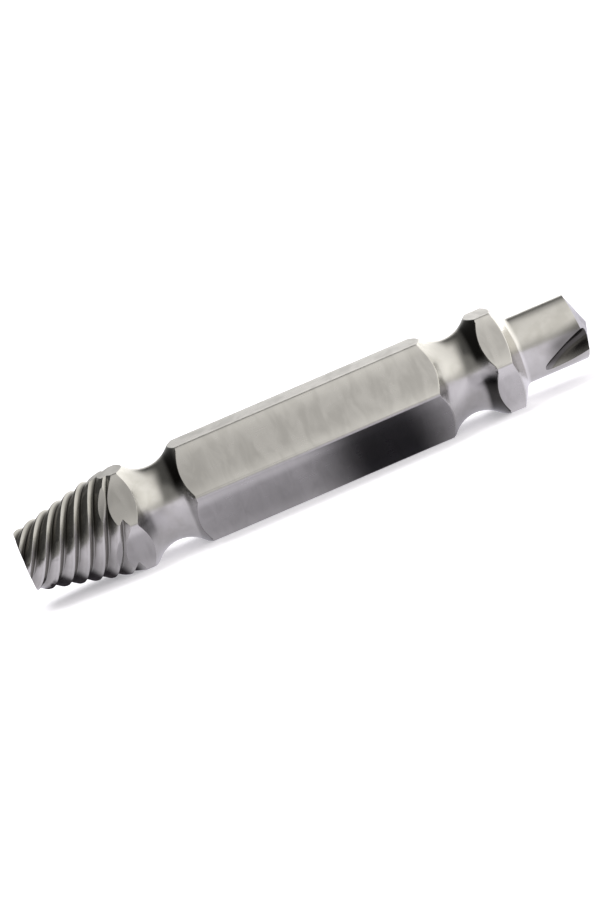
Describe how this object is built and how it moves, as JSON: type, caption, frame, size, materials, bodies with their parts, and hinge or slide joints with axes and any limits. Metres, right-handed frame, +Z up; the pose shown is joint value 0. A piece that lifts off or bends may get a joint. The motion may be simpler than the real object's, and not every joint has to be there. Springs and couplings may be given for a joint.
{
  "type": "screw extractor",
  "caption": "Double-ended bit for taking out damaged screws: a tapered left-hand threaded extractor at one end, a short burnishing drill at the other, on a hexagon shank.",
  "frame": {"origin": "on the surface that the tool lies on, under the middle of its length", "axes": "+X along the tool's axis, from the threaded tip to the drill point; +Z up, out of the flat that is on top"},
  "size_m": [0.038, 0.0072, 0.0063],
  "materials": {
    "tool_steel": "turned and ground tool steel, satin, a little worn along its edges"
  },
  "bodies": {
    "root": {"screw_extractor": "tool_steel"}
  },
  "joints": []
}
